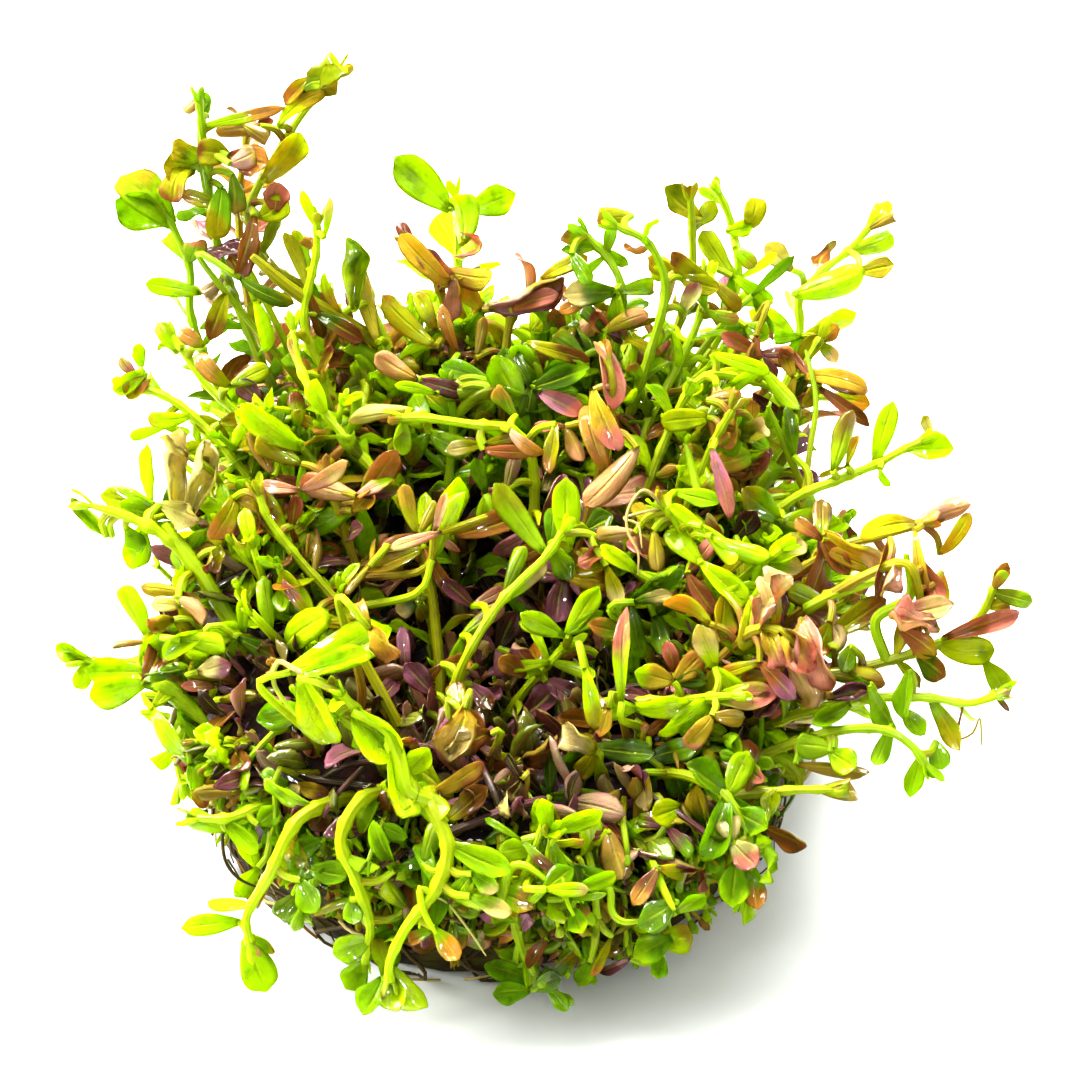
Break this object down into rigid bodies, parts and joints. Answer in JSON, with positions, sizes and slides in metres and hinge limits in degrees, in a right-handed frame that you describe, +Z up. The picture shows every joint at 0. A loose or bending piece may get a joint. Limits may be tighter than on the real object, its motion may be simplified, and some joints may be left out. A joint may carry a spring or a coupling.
{
  "type": "rotala aquarium plant portion",
  "caption": "Portion of rotala from a growing cup: a round pad of gel and roots, a tangle of old growth and leafy shoots that stand, lean and hang on all sides.",
  "frame": {"origin": "middle of the pad's flat underside, where the portion rests", "axes": "+Z up; -Y towards the front, as pictured; +X to the right of that view"},
  "size_m": [0.0962, 0.0898, 0.063],
  "materials": {
    "lime": "fresh bright lime-green shoots, thin translucent leaves, satin and slightly wet",
    "green": "mid-green shoots with glossier, rounder leaves",
    "olive": "older shoots, olive green turning amber at the leaf tips",
    "russet": "ageing shoots, brown, salmon pink and mauve leaves with wilted edges",
    "old_growth": "wet tangle of plum, brown and dark olive leaves and stems, glossy in spots",
    "root_mat": "matted roots in a wet olive-brown gel, see-through at its edge"
  },
  "bodies": {
    "root": {"root_mat": "root_mat", "old_growth": "old_growth", "tower_left": "green", "tower_long": "olive", "tower_branch": "green", "tower_russet": "russet", "back_far": "lime", "back_olive": "olive", "back_tall": "lime", "back_right": "lime", "back_curl": "green", "back_arch": "green", "russet_fan": "russet", "pink_leaf": "russet", "back_pair": "lime", "crown_right": "green", "crown_left": "green", "pink_cluster": "russet", "pale_stem": "lime", "long_arc": "lime", "level_stem": "lime", "left_pair": "lime", "pink_fold": "russet", "olive_left": "olive", "twin_leaf": "lime", "crossing_stem": "lime", "front_level": "lime", "folded_tip": "lime", "amber_tip": "lime", "wilted_hook": "russet", "right_branch": "lime", "right_olive": "olive", "right_arch": "lime", "bubble_leaf": "olive", "right_red": "russet", "right_droop": "russet", "right_tip": "olive", "right_low_stem": "lime", "right_hanging": "green", "right_brown": "olive", "right_flat": "olive", "corner_hanging": "green", "round_leaves": "green", "front_left": "lime", "front_side": "lime", "front_loop": "lime", "front_long_loop": "lime", "near_leaf": "lime", "front_bud": "lime", "front_low": "green", "front_right": "lime", "front_corner": "green", "left_low": "lime", "left_round": "lime", "left_branch": "lime", "left_fork": "lime", "left_upper": "lime", "left_thin": "lime", "back_left_low": "green", "back_low": "green"}
  },
  "joints": []
}
